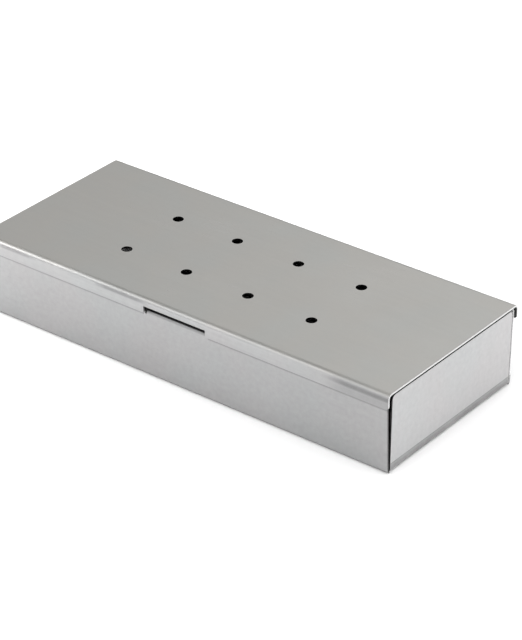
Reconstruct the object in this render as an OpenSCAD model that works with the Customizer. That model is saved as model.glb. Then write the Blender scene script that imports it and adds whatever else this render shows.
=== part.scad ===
// Wood chip smoker box: a folded sheet tray under a vented lid on two rear butt hinges.
// X runs along the box, the finger notch faces -Y, and the underside rests on Z = 0.

/* [Box] */
// Length of the lid
lid_len = 235; // [180:1:300]
// Depth of the lid over its two flanges
lid_dep = 98; // [80:0.5:130]
// Height of the closed box
box_h = 41.2; // [38:0.2:60]
// Thickness of the sheet steel
sheet = 0.8; // [0.6:0.1:1]

/* [Tray] */
// Gap between the long walls' rims and the lid's flanges
rim_gap = 0.2; // [0.15:0.05:0.4]
// How far the long walls lean out over their height
wall_lean = 1; // [0.2:0.1:1.5]
// How far the end walls lean out over their height
end_lean = 0.7; // [0.1:0.1:1.2]
// How far the lid reaches past each end wall
end_overhang = 0.4; // [0.2:0.1:1.5]
// How far the long walls stop short of the end walls' outer faces
corner_step = 0.8; // [0.4:0.1:1.2]
// How far the end walls reach past the edge of the base at each corner
end_step = 0.5; // [0.2:0.05:0.8]
// Drop from the top of the lid to the rim of the tray
rim_drop = 2; // [1.8:0.1:2.6]
// Inside radius of the bends around the base
base_bend = 1.4; // [1:0.1:2]
// Radius of the corners along the rim
rim_corner = 2; // [1:0.5:4]

/* [Lid] */
// Height of the front and rear flanges
flange_h = 7.3; // [6.5:0.1:8]
// Inside radius of the lid's bends
lid_bend = 1.6; // [1.4:0.1:1.8]
// Radius of the flanges' lower corners
flange_corner = 1.5; // [0.5:0.5:3]

/* [Smoke vents] */
// Diameter of a vent
vent_d = 5.3; // [3:0.1:8]
// Vents along the box
vent_cols = 4; // [1:1:5]
// Vents across the box
vent_rows = 2; // [1:1:2]
// Distance between vents along the box
vent_pitch_x = 35.7; // [12:0.1:42]
// Distance between vents across the box
vent_pitch_y = 37; // [12:0.5:60]

/* [Finger notch] */
// Length of the notch in the front flange
notch_len = 35.6; // [20:0.2:60]
// Height of the notch above the flange's lower edge
notch_h = 3.4; // [2:0.2:4]
// Drop from the flange's lower edge to the start of the folded tab's bend
tab_drop = 0.4; // [0.2:0.1:1]
// Width of the relief slits beside the folded tab
slit_w = 0.8; // [0.6:0.1:1.5]
// Inside radius of the folded tab's bend
tab_bend = 0.8; // [0.6:0.1:1.2]
// Length of the tab's flat, which points into the tray
tab_flat = 3.2; // [2:0.2:4]

/* [Hinges] */
// Distance from the middle of the box to each hinge
hinge_x = 75; // [50:1:90]
// Length of a hinge
hinge_len = 26; // [20:1:36]
// Thickness of the hinge strip
strip = 0.8; // [0.6:0.1:1]
// Diameter of the hinge pin
pin_d = 1.6; // [1.4:0.1:2]
// Radial play between pin and knuckle
pin_play = 0.05; // [0.02:0.01:0.08]
// Gap between neighbouring knuckles
knuckle_gap = 0.3; // [0.2:0.05:0.5]
// Height of the leaf on the rear wall
leaf_h = 11; // [8:0.5:14]
// Diameter of a spot weld's dimple
weld_d = 3; // [2:0.5:4]

/* [Hidden] */
$fn = 64;
cut = 1;

steel = [0.74, 0.74, 0.73];
lid_steel = [0.68, 0.68, 0.66];
hinge_steel = [0.62, 0.62, 0.61];

// Lid section
lid_out = lid_bend + sheet;
flange_y = lid_dep / 2;
flange_z = box_h - flange_h;
lid_axis_y = flange_y - lid_out;
lid_axis_z = box_h - lid_out;

// Tray section: the walls' outer faces pass through wall_y and tray_half at the rim's height
tray_half = lid_len / 2 - end_overhang;
base_out = base_bend + sheet;
rim_z = box_h - rim_drop;
wall_y = flange_y - sheet - rim_gap;
lean = tilt_for(wall_lean);
end_tilt = tilt_for(end_lean);
base_y = to_micron(wall_y - face_out(lean, rim_z));
base_x = to_micron(tray_half - face_out(end_tilt, rim_z));
wall_len = 2 * (tray_half - corner_step);
wall_up = length_up(lean);
end_wall_dep = 2 * (base_y + end_step);
corner_slot = 0.45;
relief_w = 0.2;

// Folded tab behind the finger notch, in the long wall's own frame
tab_out = tab_bend + sheet;
tab_up = flange_z - tab_drop - base_out;
slit_drop = 0.4;
slit_step = 0.1;
slit_x = notch_len / 2 - slit_step - slit_w;

// Hinge section
bore_r = pin_d / 2 + pin_play;
knuckle_r = bore_r + strip;
axis_y = flange_y + knuckle_r;
axis_z = flange_z - 1.9;
knuckle_len = (hinge_len - 2 * knuckle_gap) / 3;
lid_leaf_top = lid_axis_z - 0.5;
leaf_top = axis_z - 1.6;
neck_drop = 0.6;
head_r = pin_d / 2 + 0.4;
head_h = 0.6;
head_gap = 0.15;
weld_deep = 0.12;
weld_step = 8;

// Angle of a wall that leans out by run between its bend and the rim
function tilt_for(run) = atan(run / (rim_z - base_out));

// How far a wall's outer face stands out from the start of its bend, at height z
function face_out(tilt, z) = (base_out + (z - base_out) * sin(tilt)) / cos(tilt);

// Rounds a length to whole micrometres, so that the base and the bends meet exactly
function to_micron(len) = round(1000 * len) / 1000;

// Length of a wall's flat from its bend up to the rim
function length_up(tilt) = (rim_z - base_out + base_out * sin(tilt)) / cos(tilt);

// Carries a (Y, Z) section along X, centred on X = 0
module along_x(len) {
    rotate([90, 0, 90])
        translate([0, 0, -len / 2])
            linear_extrude(len)
                children();
}

// Arc of bent sheet about the origin, from angle a0 to a1
module bend(inner_r, thick, a0, a1) {
    far = 3 * (inner_r + thick);
    mid = (a0 + a1) / 2;
    intersection() {
        difference() {
            circle(inner_r + thick);
            circle(inner_r);
        }
        polygon([
            [0, 0],
            [far * cos(a0), far * sin(a0)],
            [far * cos(mid), far * sin(mid)],
            [far * cos(a1), far * sin(a1)]
        ]);
    }
}

// Sharp corner left outside a quarter circle, for rounding an edge by subtraction
module corner_waste(r) {
    difference() {
        translate([-cut, -cut])
            square(r + cut);
        translate([r, r])
            circle(r);
        translate([r, -2 * cut])
            square([2 * cut, r + 4 * cut]);
        translate([-2 * cut, r])
            square([r + 4 * cut, 2 * cut]);
    }
}

// Frame of a leaning wall's section: first axis out of its outer face, second axis up the wall
module leaning_frame(foot, tilt) {
    translate([foot, base_out])
        rotate(-tilt)
            children();
}

// A wall's section with the bend at its foot
module wall_section(foot, tilt) {
    leaning_frame(foot, tilt) {
        bend(base_bend, sheet, tilt - 90, 0);
        translate([base_bend, 0])
            square([sheet, length_up(tilt)]);
    }
}

// Frame of the rear wall's section
module wall_frame() {
    leaning_frame(base_y, lean)
        children();
}

// Both ends of the box, as mirror images
module both_ends() {
    for (side = [0, 1])
        mirror([side, 0, 0])
            children();
}

// Rear wall with its bend; the front wall is its mirror image
module long_wall() {
    difference() {
        along_x(wall_len)
            wall_section(base_y, lean);
        both_ends() {
            translate([base_x - relief_w, 0, -cut])
                cube([tray_half, end_wall_dep / 2 + corner_slot, base_out + cut]);
            translate([wall_len / 2, base_y - cut, rim_z])
                rotate([-90, 0, 0])
                    linear_extrude(base_out + wall_lean + 2 * cut)
                        mirror([1, 0])
                            corner_waste(rim_corner);
        }
    }
}

// End wall at +X with its bend and rounded rim corners
module end_wall() {
    difference() {
        translate([0, end_wall_dep / 2, 0])
            rotate([90, 0, 0])
                linear_extrude(end_wall_dep)
                    wall_section(base_x, end_tilt);
        for (side = [0, 1])
            mirror([0, side, 0])
                translate([base_x, end_wall_dep / 2, rim_z])
                    rotate([90, 0, 90])
                        linear_extrude(base_out + end_lean + 2 * cut)
                            mirror([1, 0])
                                mirror([0, 1])
                                    corner_waste(rim_corner);
    }
}

// Relief slits and the strip above the tab's bend, cut from the front wall
module tab_opening() {
    along_x(2 * slit_x)
        wall_frame()
            translate([-cut, tab_up])
                square([base_out + 2 * cut, wall_up]);
    both_ends()
        translate([slit_x + slit_w / 2, 0, 0])
            along_x(slit_w)
                wall_frame()
                    translate([-cut, tab_up - slit_drop])
                        square([base_out + 2 * cut, wall_up]);
}

// Tab folded into the tray, so that a fingertip meets a bend and not a cut edge
module folded_tab() {
    along_x(2 * slit_x)
        wall_frame()
            translate([base_out - tab_out, tab_up]) {
                bend(tab_bend, sheet, 0, 90);
                translate([-tab_flat, tab_bend])
                    square([tab_flat, sheet]);
            }
}

module tray() {
    color(steel) {
        translate([-base_x, -base_y, 0])
            cube([2 * base_x, 2 * base_y, sheet]);
        long_wall();
        mirror([0, 1, 0]) {
            difference() {
                long_wall();
                tab_opening();
            }
            folded_tab();
        }
        both_ends()
            end_wall();
    }
}

// Rear half of the lid's section
module lid_half_section() {
    translate([0, box_h - sheet])
        square([lid_axis_y, sheet]);
    translate([lid_axis_y, lid_axis_z])
        bend(lid_bend, sheet, 0, 90);
    translate([flange_y - sheet, flange_z])
        square([sheet, lid_axis_z - flange_z]);
}

module vents() {
    for (col = [0:vent_cols - 1])
        for (row = [0:vent_rows - 1])
            translate([
                (col - (vent_cols - 1) / 2) * vent_pitch_x,
                (row - (vent_rows - 1) / 2) * vent_pitch_y,
                box_h - sheet - cut
            ])
                cylinder(d = vent_d, h = sheet + 2 * cut);
}

module lid() {
    color(lid_steel)
        difference() {
            along_x(lid_len) {
                lid_half_section();
                mirror([1, 0])
                    lid_half_section();
            }
            vents();
            translate([-notch_len / 2, -flange_y - cut, flange_z - cut])
                cube([notch_len, sheet + 2 * cut, notch_h + cut]);
            both_ends()
                translate([lid_len / 2, flange_y + cut, flange_z])
                    rotate([90, 0, 0])
                        linear_extrude(lid_dep + 2 * cut)
                            mirror([1, 0])
                                corner_waste(flange_corner);
        }
}

// Rolled knuckle as a ring about the pin
module knuckle_ring() {
    translate([axis_y, axis_z])
        difference() {
            circle(knuckle_r);
            circle(bore_r);
        }
}

// Spot weld dimples, sunk into a leaf's outer face along +Y
module weld_dimples(y, z) {
    for (side = [-1, 1])
        translate([side * weld_step, y - weld_deep, z])
            rotate([-90, 0, 0])
                cylinder(d = weld_d, h = cut);
}

// Leaf on the rear wall, with the two outer knuckles
module tray_leaf() {
    wall_at_top = base_y + face_out(lean, leaf_top);
    difference() {
        union() {
            along_x(hinge_len)
                intersection() {
                    wall_frame()
                        translate([base_out, 0])
                            square([strip, wall_up]);
                    translate([0, leaf_top - leaf_h])
                        square([flange_y + strip, leaf_h]);
                }
            for (side = [-1, 1])
                translate([side * (hinge_len - knuckle_len) / 2, 0, 0])
                    along_x(knuckle_len) {
                        knuckle_ring();
                        polygon([
                            [wall_at_top, leaf_top],
                            [wall_at_top + strip, leaf_top - neck_drop],
                            [axis_y - bore_r, axis_z],
                            [axis_y - knuckle_r, axis_z]
                        ]);
                    }
        }
        translate([0, base_y, base_out])
            rotate([-lean, 0, 0])
                weld_dimples(base_out + strip, leaf_top - leaf_h / 2 - base_out);
    }
}

// Leaf on the lid's rear flange, with the middle knuckle
module lid_leaf() {
    difference() {
        union() {
            along_x(hinge_len)
                translate([flange_y, flange_z])
                    square([strip, lid_leaf_top - flange_z]);
            along_x(knuckle_len) {
                knuckle_ring();
                difference() {
                    translate([flange_y, axis_z])
                        square([strip, lid_leaf_top - axis_z]);
                    translate([axis_y, axis_z])
                        circle(bore_r);
                }
            }
        }
        weld_dimples(flange_y + strip, (flange_z + lid_leaf_top) / 2);
    }
}

// Domed end of the pin at +X, outside the last knuckle
module pin_head() {
    dome_r = (head_r * head_r + head_h * head_h) / (2 * head_h);
    translate([hinge_len / 2 + head_gap, axis_y, axis_z])
        rotate([0, 90, 0])
            intersection() {
                cylinder(r = head_r, h = head_h);
                translate([0, 0, head_h - dome_r])
                    sphere(dome_r);
            }
}

// Pin with a peened head at each end
module hinge_pin() {
    translate([-hinge_len / 2 - head_gap - head_h / 2, axis_y, axis_z])
        rotate([0, 90, 0])
            cylinder(d = pin_d, h = hinge_len + 2 * head_gap + head_h);
    both_ends()
        pin_head();
}

// Places a hinge piece at the left or right hinge
module at_hinge(side) {
    color(hinge_steel)
        translate([side * hinge_x, 0, 0])
            children();
}

module left_tray_leaf() { at_hinge(-1) tray_leaf(); }
module left_lid_leaf() { at_hinge(-1) lid_leaf(); }
module left_hinge_pin() { at_hinge(-1) hinge_pin(); }
module right_tray_leaf() { at_hinge(1) tray_leaf(); }
module right_lid_leaf() { at_hinge(1) lid_leaf(); }
module right_hinge_pin() { at_hinge(1) hinge_pin(); }

tray();
lid();
left_tray_leaf();
left_lid_leaf();
left_hinge_pin();
right_tray_leaf();
right_lid_leaf();
right_hinge_pin();
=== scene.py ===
"""Looks of the wood chip smoker box: brushed steel sheet, soft studio light, pale floor.

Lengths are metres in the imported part's frame: X along the box, Y from the finger notch to the hinges, Z up.
"""

import math

import bpy
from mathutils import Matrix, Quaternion, Vector


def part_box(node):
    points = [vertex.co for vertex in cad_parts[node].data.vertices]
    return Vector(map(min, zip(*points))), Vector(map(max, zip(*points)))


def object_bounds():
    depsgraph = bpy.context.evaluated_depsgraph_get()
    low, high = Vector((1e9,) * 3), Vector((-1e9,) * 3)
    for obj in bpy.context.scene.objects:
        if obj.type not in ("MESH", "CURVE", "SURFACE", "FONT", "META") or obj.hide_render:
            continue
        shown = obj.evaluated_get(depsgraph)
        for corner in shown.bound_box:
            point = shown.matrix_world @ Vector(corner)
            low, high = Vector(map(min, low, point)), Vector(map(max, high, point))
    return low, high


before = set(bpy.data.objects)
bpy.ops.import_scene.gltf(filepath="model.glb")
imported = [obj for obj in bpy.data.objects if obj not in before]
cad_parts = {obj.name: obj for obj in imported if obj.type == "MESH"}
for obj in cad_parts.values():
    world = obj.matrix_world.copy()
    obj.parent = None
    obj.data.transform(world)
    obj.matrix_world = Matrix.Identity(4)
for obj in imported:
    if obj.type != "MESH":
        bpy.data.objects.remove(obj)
cad_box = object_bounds()

MM = 0.001
LID_LOW, LID_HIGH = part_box("lid")
TRAY_LOW, TRAY_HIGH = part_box("tray")
SHEET = 0.8 * MM
EDGE = 0.1 * MM
VENT_RADIUS = 2.65 * MM
VENT_PITCH = 35.7 * MM
VENT_ROW = 18.5 * MM
HINGE_X = 75 * MM
WELD_STEP = 8 * MM
TRAY_WELD_Z = 24.9 * MM
LID_WELD_Z = 36.1 * MM
# Height of the top of the painted reflection band along the end walls' feet
END_BAND_TOP = 4.95 * MM

# Half lengths of the finger notch's surround and of the tab, and the heights of the tab's bend
NOTCH_HALF = 18.5 * MM
TAB_HALF = 17.0 * MM
TAB_BEND_LOW = 33.3 * MM
TAB_BEND_HIGH = 34.4 * MM
TAB_TOP = 34.6 * MM

# Outer faces of the long walls, the faces of their front and rear edges, and the slits at the rear corners
LONG_WALL_Y = 44.9 * MM
FRONT_FACE_Y = 46.0 * MM
WALL_END_Y = 45.6 * MM
SLIT_X = 112.8 * MM
SLIT_Y = 43.5 * MM

# Painted dark reflections on the front flange, streaks under the bend's highlight: middles and half lengths
# along it, and drops from the lid's top
NOTCH_DARK_REFLECTION_X = -31 * MM
NOTCH_DARK_REFLECTION_HALF = (9 * MM, 17 * MM)
LEFT_DARK_REFLECTION_X = -96 * MM
LEFT_DARK_REFLECTION_HALF = (6 * MM, 14 * MM)
DARK_REFLECTION_DROP = 2.1 * MM
RIGHT_DARK_REFLECTION_DROP = 2.6 * MM
RIGHT_DARK_REFLECTION_START = (82 * MM, 94 * MM)

# ---------------------------------------------------------------- camera, light and floor

CAMERA_AZIMUTH = 38.57
CAMERA_ELEVATION = 30.22
CAMERA_ROLL = -0.515
CAMERA_DISTANCE = 1.226
CAMERA_AIM = Vector((0.0082, 0.0028, 0.0154))
CAMERA_LENS = 150.2

# Brightness of the studio surround by height, from the horizon (0) to straight up (1),
# in front of the box and behind it; behind it the glow fades out towards the left
FRONT_GLOW = [(0.0, 0.5), (0.25, 0.5), (0.5, 0.98), (0.75, 0.55), (1.0, 0.55)]
BACK_GLOW = [(0.0, 0.1), (0.25, 0.1), (0.5, 3.65), (0.75, 1.19), (1.0, 1.19)]


def direction(azimuth, elevation):
    """Unit vector from the box towards a viewer or lamp; azimuth 0 is straight in front, at -Y."""
    a = math.radians(azimuth)
    e = math.radians(elevation)
    return Vector((math.sin(a) * math.cos(e), -math.cos(a) * math.cos(e), math.sin(e)))


def make_camera():
    data = bpy.data.cameras.new("camera")
    data.lens = CAMERA_LENS
    data.sensor_width = 36
    data.clip_start = 0.05
    data.clip_end = 20
    camera = bpy.data.objects.new("camera", data)
    back = direction(CAMERA_AZIMUTH, CAMERA_ELEVATION)
    camera.rotation_mode = "QUATERNION"
    roll = Quaternion((0, 0, 1), math.radians(CAMERA_ROLL))
    camera.rotation_quaternion = (-back).to_track_quat("-Z", "Y") @ roll
    camera.location = CAMERA_AIM + back * CAMERA_DISTANCE
    bpy.context.scene.collection.objects.link(camera)
    bpy.context.scene.camera = camera


def make_softbox(name, azimuth, elevation, distance, size, power):
    data = bpy.data.lights.new(name, "AREA")
    data.shape = "SQUARE"
    data.size = size
    data.energy = power
    lamp = bpy.data.objects.new(name, data)
    away = direction(azimuth, elevation)
    lamp.location = away * distance
    lamp.rotation_mode = "QUATERNION"
    lamp.rotation_quaternion = away.to_track_quat("Z", "Y")
    bpy.context.scene.collection.objects.link(lamp)


def make_world():
    """Studio surround: its glow by height blends from the front's to the back's."""
    world = bpy.data.worlds.new("studio")
    bpy.context.scene.world = world
    world.use_nodes = True
    tree = world.node_tree
    tree.nodes.clear()
    where = add(tree, "ShaderNodeTexCoord")
    along = add(tree, "ShaderNodeSeparateXYZ", {0: where.outputs["Generated"]})
    sideways = calc(tree, "MINIMUM", calc(tree, "ADD", along.outputs["X"], 1.0), 1.0)
    front = ramp(tree, along.outputs["Z"], FRONT_GLOW)
    back = scaled(tree, ramp(tree, along.outputs["Z"], BACK_GLOW), sideways)
    behind = remap(tree, along.outputs["Y"], -1.0, 1.0, 0.0, 1.0)
    background = add(tree, "ShaderNodeBackground", {"Color": mix_colour(tree, behind, front, back)})
    add(tree, "ShaderNodeOutputWorld", {"Surface": background.outputs[0]})


def make_floor():
    half = 3.0
    mesh = bpy.data.meshes.new("floor")
    corners = [(-half, -half, 0), (half, -half, 0), (half, half, 0), (-half, half, 0)]
    mesh.from_pydata(corners, [], [(0, 1, 2, 3)])
    floor = bpy.data.objects.new("floor", mesh)
    floor.location.z = cad_box[0].z - 0.05 * MM
    bpy.context.scene.collection.objects.link(floor)
    material, tree, shader = new_material("floor_paper")
    shader.inputs["Base Color"].default_value = (0.9, 0.9, 0.9, 1)
    shader.inputs["Roughness"].default_value = 0.9
    shader.inputs["Specular IOR Level"].default_value = 0.1
    mesh.materials.append(material)


# ---------------------------------------------------------------- node helpers


def add(tree, kind, inputs=None, **settings):
    """Adds a node; an input given a socket is linked and any other value is set."""
    made = tree.nodes.new(kind)
    for name, value in settings.items():
        setattr(made, name, value)
    for name, value in (inputs or {}).items():
        connect(tree, made.inputs[name], value)
    return made


def connect(tree, socket, value):
    if isinstance(value, bpy.types.NodeSocket):
        tree.links.new(value, socket)
    else:
        socket.default_value = value


def calc(tree, operation, a, b=0.0, c=0.0):
    return add(tree, "ShaderNodeMath", {0: a, 1: b, 2: c}, operation=operation).outputs[0]


def above(tree, value, limit):
    return calc(tree, "GREATER_THAN", value, limit)


def below(tree, value, limit):
    return calc(tree, "LESS_THAN", value, limit)


def both(tree, a, b):
    return calc(tree, "MULTIPLY", a, b)


def either(tree, a, b):
    return calc(tree, "MAXIMUM", a, b)


def total(tree, first, *others):
    for other in others:
        first = calc(tree, "ADD", first, other)
    return first


def length(tree, a, b):
    return calc(tree, "SQRT", calc(tree, "MULTIPLY_ADD", a, a, calc(tree, "MULTIPLY", b, b)))


def size_of(tree, value):
    return calc(tree, "ABSOLUTE", value)


def distance(tree, value, middle):
    return size_of(tree, calc(tree, "SUBTRACT", value, middle))


def remap(tree, value, low, high, to_low, to_high):
    made = add(tree, "ShaderNodeMapRange", {
        "Value": value, "From Min": low, "From Max": high, "To Min": to_low, "To Max": to_high})
    return made.outputs["Result"]


def ramp(tree, value, stops):
    """Colour ramp through grey stops of (place, brightness)."""
    made = add(tree, "ShaderNodeValToRGB", {"Fac": value})
    elements = made.color_ramp.elements
    while len(elements) < len(stops):
        elements.new(0.5)
    for element, (place, grey) in zip(elements, stops):
        element.position = place
        element.color = (grey, grey, grey, 1)
    return made.outputs["Color"]


def mix_colour(tree, share, a, b):
    made = add(tree, "ShaderNodeMix", data_type="RGBA")
    connect(tree, made.inputs[0], share)
    connect(tree, made.inputs[6], a)
    connect(tree, made.inputs[7], b)
    return made.outputs[2]


def mix_value(tree, share, a, b):
    return add(tree, "ShaderNodeMix", {0: share, 2: a, 3: b}).outputs[0]


def scaled(tree, colour, gain):
    return add(tree, "ShaderNodeVectorMath", {0: colour, "Scale": gain}, operation="SCALE").outputs[0]


def new_material(name):
    material = bpy.data.materials.new(name)
    material.use_nodes = True
    tree = material.node_tree
    return material, tree, tree.nodes["Principled BSDF"]


def noise(tree, vector, scale, detail=2.0, rough=0.5):
    made = add(tree, "ShaderNodeTexNoise", {
        "Vector": vector, "Scale": scale, "Detail": detail, "Roughness": rough})
    return made.outputs["Fac"]


# ---------------------------------------------------------------- steel


class Surface:
    """Object-space position and facing of the shaded point, as sockets of a material's node tree."""

    def __init__(self, tree):
        where = add(tree, "ShaderNodeTexCoord")
        self.point = where.outputs["Object"]
        place = add(tree, "ShaderNodeSeparateXYZ", {0: self.point})
        facing = add(tree, "ShaderNodeSeparateXYZ", {0: where.outputs["Normal"]})
        self.x, self.y, self.z = place.outputs
        self.nx, self.ny, self.nz = facing.outputs


def grain_of(tree, s, fine, coarse):
    """Grain along X, turned upright on the end walls.

    It has coarse features per metre along its run and fine ones per metre across it.
    """
    turned = above(tree, size_of(tree, s.nx), 0.7)
    place = (calc(tree, "MULTIPLY", s.x, mix_value(tree, turned, coarse, fine)),
             calc(tree, "MULTIPLY", s.y, fine),
             calc(tree, "MULTIPLY", s.z, mix_value(tree, turned, fine, coarse)))
    joined = add(tree, "ShaderNodeCombineXYZ", dict(enumerate(place))).outputs[0]
    return noise(tree, joined, 1.0, 3.0, 0.55)


def steel(name, top_tone, side_tone, marks, rough=0.34, end_light_gain=1.0, streaks=0.01, mottle=0.01, tint=None):
    """Satin steel with fine grain.

    top_tone is the colour of level faces and side_tone the grey of upright ones, which carry
    streaks and mottling of the given depths; faces towards +X or -X are painted brighter by the end gain,
    painted light that stands in for their brighter reflections.
    marks(tree, surface) returns (mask, tone, roughness) for each kind of mark, such as a sheared
    edge, and later marks cover earlier ones. tint(tree, surface, colour) stains the colour.
    """
    material, tree, shader = new_material(name)
    s = Surface(tree)
    grain = grain_of(tree, s, 4200, 45)
    streak = grain_of(tree, s, 520, 14)
    mottled = noise(tree, s.point, 420.0, 3.0, 0.6)
    cloud = noise(tree, s.point, 24.0, 3.0, 0.5)
    warmth = noise(tree, s.point, 38.0, 1.0, 0.5)

    level = remap(tree, size_of(tree, s.nz), 0.3, 0.9, 0.0, 1.0)
    on_sides = remap(tree, level, 0.0, 1.0, 1.0, 0.2)
    bright = total(tree, 1.0, remap(tree, grain, 0.3, 0.7, -0.02, 0.02),
                   calc(tree, "MULTIPLY", on_sides, remap(tree, streak, 0.3, 0.7, -streaks, streaks)),
                   calc(tree, "MULTIPLY", on_sides, remap(tree, mottled, 0.3, 0.7, -mottle, mottle)),
                   remap(tree, cloud, 0.3, 0.7, -0.02, 0.02))
    # Painted light: faces towards +X or -X get a brighter colour, standing in for the brighter reflections of
    # the end walls
    bright = calc(tree, "MULTIPLY", bright, remap(tree, size_of(tree, s.nx), 0.3, 0.9, 1.0, end_light_gain))
    red, green, blue = top_tone
    top = mix_colour(tree, remap(tree, warmth, 0.35, 0.65, 0.0, 1.0),
                     (red * 1.012, green, blue * 0.99, 1), (red * 0.995, green * 1.003, blue * 1.004, 1))
    side = mix_colour(tree, remap(tree, warmth, 0.35, 0.65, 0.0, 1.0),
                      (side_tone * 1.01, side_tone * 0.995, side_tone, 1),
                      (side_tone * 0.99, side_tone, side_tone * 1.005, 1))
    colour = scaled(tree, mix_colour(tree, level, side, top), bright)
    roughness = total(tree, rough, remap(tree, grain, 0.25, 0.75, -0.06, 0.06),
                      remap(tree, cloud, 0.3, 0.7, -0.03, 0.03))

    pits = noise(tree, s.point, 1600.0, 2.0, 0.5)
    for mask, mark_tone, mark_rough in marks(tree, s):
        speckled = remap(tree, pits, 0.3, 0.7, 0.9 * mark_tone, 1.1 * mark_tone)
        colour = mix_colour(tree, mask, colour, speckled)
        roughness = mix_value(tree, mask, roughness, mark_rough)
    if tint:
        colour = tint(tree, s, colour)
    connect(tree, shader.inputs["Base Color"], colour)
    connect(tree, shader.inputs["Roughness"], roughness)
    shader.inputs["Metallic"].default_value = 1.0

    relief = total(tree, calc(tree, "MULTIPLY", grain, 0.4), calc(tree, "MULTIPLY", streak, 0.3))
    bump = add(tree, "ShaderNodeBump", {"Strength": 0.1, "Distance": 0.03 * MM, "Height": relief})
    connect(tree, shader.inputs["Normal"], bump.outputs[0])
    return material


def vent_radius(tree, s):
    """Distance from the axis of the nearest of the eight vents."""
    dx = calc(tree, "SUBTRACT", distance(tree, size_of(tree, s.x), VENT_PITCH),
              VENT_PITCH / 2)
    dy = calc(tree, "SUBTRACT", size_of(tree, s.y), VENT_ROW)
    return length(tree, dx, dy)


def lid_marks(tree, s):
    """Painted highlights on the sheared ends, flange edges and vent rims; painted shade on the flanges'
    insides and vent walls; painted dark reflections on the front flange.
    """
    # Painted highlights: the sheared ends, the notch's cut sides and the flanges' lower edges get a pale
    # tone, standing in for light caught on their edges
    along_end = above(tree, size_of(tree, s.nx), 0.6)
    near_end = above(tree, size_of(tree, s.x), LID_HIGH.x - 2 * SHEET)
    in_flange = below(tree, s.z, LID_HIGH.z - 3 * SHEET)
    cut_edge_highlight = either(tree, both(tree, along_end, near_end), both(tree, in_flange, along_end))
    lower = both(tree, below(tree, s.nz, -0.9), in_flange)
    on_top = both(tree, above(tree, s.nz, 0.9), above(tree, s.z, LID_HIGH.z - EDGE))
    reach = vent_radius(tree, s)
    # Painted shade: the walls of the vents are nearly black
    vent_wall_shade = both(tree, below(tree, reach, VENT_RADIUS + 0.05 * MM), below(tree, size_of(tree, s.nz), 0.5))
    # Painted highlight: a pale ring on the top face round each vent
    vent_rim_highlight = both(tree, on_top, remap(tree, reach, VENT_RADIUS, VENT_RADIUS + 0.5 * MM, 0.1, 0.0))
    front = both(tree, below(tree, s.ny, -0.5), below(tree, s.y, -LID_HIGH.y + SHEET))
    # Painted reflections: dark streaks on the front flange under the bend, standing in for the dark horizon
    # reflected in its waviness
    from_bend = distance(tree, s.z, LID_HIGH.z - RIGHT_DARK_REFLECTION_DROP)
    right_dark_reflection = both(tree, front, remap(tree, from_bend, 0.5 * MM, 1.5 * MM, 0.65, 0.22))
    right_dark_reflection = both(tree, right_dark_reflection, remap(tree, s.x, *RIGHT_DARK_REFLECTION_START, 0.0, 1.0))
    near_notch = remap(tree, distance(tree, s.x, NOTCH_DARK_REFLECTION_X), *NOTCH_DARK_REFLECTION_HALF, 1.0, 0.0)
    near_left = remap(tree, distance(tree, s.x, LEFT_DARK_REFLECTION_X), *LEFT_DARK_REFLECTION_HALF, 0.7, 0.0)
    from_bend = distance(tree, s.z, LID_HIGH.z - DARK_REFLECTION_DROP)
    dark_reflection = both(tree, front, remap(tree, from_bend, 0.3 * MM, 1.1 * MM, 0.5, 0.0))
    dark_reflection = both(tree, dark_reflection, either(tree, near_notch, near_left))
    # Painted shade: the flanges' inner faces are darkened
    facing_in = below(tree, both(tree, s.y, s.ny), -0.3 * LID_HIGH.y)
    flange_inner_shade = both(tree, facing_in, above(tree, size_of(tree, s.y), LID_HIGH.y - 2 * SHEET))
    return [(right_dark_reflection, 0.13, 0.4), (dark_reflection, 0.12, 0.4), (vent_rim_highlight, 0.7, 0.3), (flange_inner_shade, 0.08, 0.5),
            (vent_wall_shade, 0.015, 0.6), (either(tree, cut_edge_highlight, lower), 0.75, 0.42)]


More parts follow.
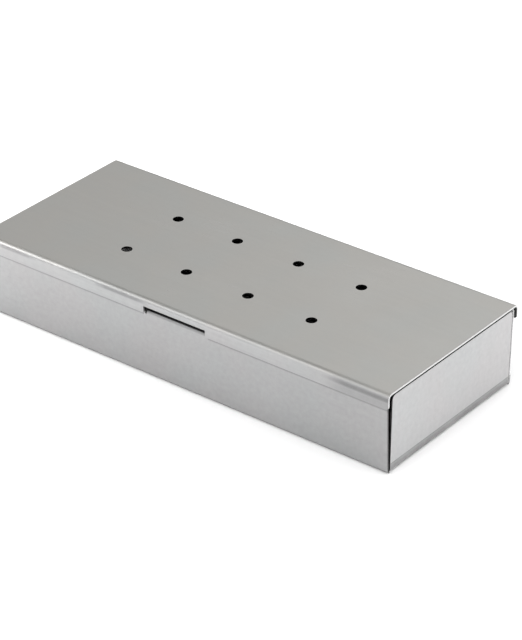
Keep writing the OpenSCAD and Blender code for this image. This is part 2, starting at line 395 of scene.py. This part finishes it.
def tray_marks(tree, s):
    """Painted shade on the inside, the rims under the lid, the feet, the front corners and the tab, a painted
    shadow line under the flange, and a painted reflection of the shaded floor along the end walls' feet.

    Painted light in the slits at the rear corners: the steel there is pale and rough, so that they don't show
    as dark lines.
    """
    # Painted shade: the walls' top edges under the lid are darkened
    rim_shade = both(tree, above(tree, s.nz, 0.9), above(tree, s.z, TRAY_HIGH.z - EDGE))
    # Painted shade: the front wall's cut ends in the corner slots are darkened
    front_corner_shade = both(tree, above(tree, size_of(tree, s.nx), 0.9), below(tree, s.y, -WALL_END_Y))
    outer_front = both(tree, below(tree, s.ny, -0.9), below(tree, s.y, -FRONT_FACE_Y))
    beside_notch = above(tree, size_of(tree, s.x), NOTCH_HALF)
    # Painted shadow: a darker strip on the front wall just under the flange's lower edge
    flange_shadow = both(tree, both(tree, outer_front, beside_notch), remap(tree, s.z, 32.0 * MM, 33.0 * MM, 0.0, 0.5))
    # Painted shade: the tab behind the finger notch is darkened, most on its top
    on_tab = both(tree, below(tree, s.y, -44.5 * MM), below(tree, size_of(tree, s.x), TAB_HALF))
    tab_bend_shade = both(tree, on_tab, remap(tree, s.z, TAB_BEND_LOW, TAB_BEND_HIGH, 0.0, 0.6))
    tab_top_shade = both(tree, on_tab, above(tree, s.z, TAB_TOP))

    # Painted light: the slits at the rear corners get a pale, rough tone so that their shade doesn't show
    slit_side = both(tree, below(tree, s.ny, -0.5), above(tree, s.y, SLIT_Y))
    cut_end = both(tree, above(tree, size_of(tree, s.nx), 0.5), above(tree, s.y, WALL_END_Y))
    rear_slit_light = both(tree, above(tree, size_of(tree, s.x), SLIT_X), either(tree, slit_side, cut_end))
    outer_side = above(tree, size_of(tree, s.y), LONG_WALL_Y)
    # Painted shade: a dark line low on the long walls' bottom bends, where they meet the floor
    foot_shade = both(tree, outer_side, remap(tree, s.z, 0.9 * MM, 1.5 * MM, 0.55, 0.0))

    # Painted shade: inward faces and the inside of the base are darkened, more towards the bottom
    facing_in = either(tree, below(tree, both(tree, s.x, s.nx), -0.3 * TRAY_HIGH.x),
                       below(tree, both(tree, s.y, s.ny), -0.3 * TRAY_HIGH.y))
    facing_in = either(tree, facing_in, both(tree, above(tree, s.nz, 0.3), below(tree, s.z, 3 * SHEET)))
    inner_shade = both(tree, facing_in, remap(tree, s.z, SHEET, TRAY_HIGH.z, 0.5, 0.1))

    # Painted reflection: a patchy darker band along the end walls' feet, with a darker line at its top,
    # stands in for the shaded floor they reflect
    end_wall = above(tree, size_of(tree, s.x), TRAY_HIGH.x - 4 * SHEET)
    outer = both(tree, end_wall, above(tree, both(tree, s.x, s.nx), 0.3 * TRAY_HIGH.x))
    patchy = remap(tree, noise(tree, s.point, 90.0, 2.0, 0.6), 0.35, 0.65, 0.75, 1.0)
    low = both(tree, outer, remap(tree, s.z, 3.0 * MM, END_BAND_TOP, 1.0, 0.55))
    end_band_reflection = both(tree, both(tree, low, below(tree, s.z, END_BAND_TOP)), patchy)
    end_band_edge_reflection = both(tree, both(tree, outer, below(tree, s.z, END_BAND_TOP)), above(tree, s.z, END_BAND_TOP - 0.5 * MM))
    end_band_edge_reflection = both(tree, end_band_edge_reflection, patchy)
    return [(inner_shade, 0.13, 0.45), (rear_slit_light, 0.9, 0.95), (foot_shade, 0.12, 0.5), (flange_shadow, 0.1, 0.5),
            (end_band_reflection, 0.29, 0.45), (end_band_edge_reflection, 0.28, 0.4), (rim_shade, 0.2, 0.5), (tab_bend_shade, 0.1, 0.5),
            (tab_top_shade, 0.06, 0.5), (front_corner_shade, 0.1, 0.5)]


def no_marks(tree, s):
    return []


def peened_ends(tree, s):
    """Hammered, darker heads at the ends of a hinge pin."""
    from_middle = distance(tree, size_of(tree, s.x), HINGE_X)
    return [(above(tree, from_middle, 13 * MM), 0.24, 0.5)]


def weld_tint(tree, s, colour):
    """Heat colours round each spot weld: grey in the dimple, then blue, then straw, then bare steel."""
    from_middle = distance(tree, size_of(tree, s.x), HINGE_X)
    dx = calc(tree, "SUBTRACT", from_middle, WELD_STEP)
    lower = calc(tree, "SUBTRACT", s.z, TRAY_WELD_Z)
    upper = calc(tree, "SUBTRACT", s.z, LID_WELD_Z)
    reach = calc(tree, "MINIMUM", length(tree, dx, lower), length(tree, dx, upper))
    wobble = remap(tree, noise(tree, s.point, 500.0, 2.0, 0.5), 0.3, 0.7, -0.3 * MM, 0.3 * MM)
    place = remap(tree, calc(tree, "ADD", reach, wobble), 0.0, 4 * MM, 0.0, 1.0)
    rings = add(tree, "ShaderNodeValToRGB", {"Fac": place})
    elements = rings.color_ramp.elements
    elements[0].color = (0.17, 0.16, 0.15, 1)
    elements[1].color = (0.42, 0.39, 0.33, 1)
    for at, ring in ((0.38, (0.2, 0.19, 0.18)), (0.48, (0.17, 0.2, 0.29)), (0.62, (0.36, 0.27, 0.16))):
        elements.new(at).color = (*ring, 1)
    facing = above(tree, size_of(tree, s.ny), 0.9)
    share = both(tree, facing, remap(tree, place, 0.55, 0.95, 0.8, 0.0))
    return mix_colour(tree, share, colour, rings.outputs["Color"])


def dress(node, material):
    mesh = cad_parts[node].data
    mesh.materials.clear()
    mesh.materials.append(material)


make_camera()
make_world()
make_softbox("softbox_left", azimuth=-75, elevation=15, distance=0.6, size=0.45, power=4.25)
make_softbox("softbox_right", azimuth=115, elevation=40, distance=0.9, size=0.6, power=0.5)
make_softbox("softbox_front", azimuth=0, elevation=35, distance=1.2, size=1.6, power=7.8)
make_softbox("softbox_above", azimuth=120, elevation=80, distance=1.0, size=1.0, power=2.2)
make_floor()

scene = bpy.context.scene
scene.view_settings.view_transform = "Standard"

# The lid's top keeps a warm tint; its upright faces get a brighter neutral grey, painted light on the flanges
dress("lid", steel("lid_steel", (0.367, 0.364, 0.35), 0.38, lid_marks, streaks=0.045, mottle=0.03))
# The tray's end walls get a strong painted brightening, painted light for their brighter reflections
dress("tray", steel("tray_steel", (0.36, 0.36, 0.36), 0.36, tray_marks, end_light_gain=1.45, mottle=0.045))
leaf = steel("hinge_steel", (0.36, 0.36, 0.36), 0.36, no_marks, tint=weld_tint)
pin = steel("pin_steel", (0.4, 0.4, 0.405), 0.4, peened_ends, rough=0.26)
for side in ("left", "right"):
    dress(side + "_tray_leaf", leaf)
    dress(side + "_lid_leaf", leaf)
    dress(side + "_hinge_pin", pin)
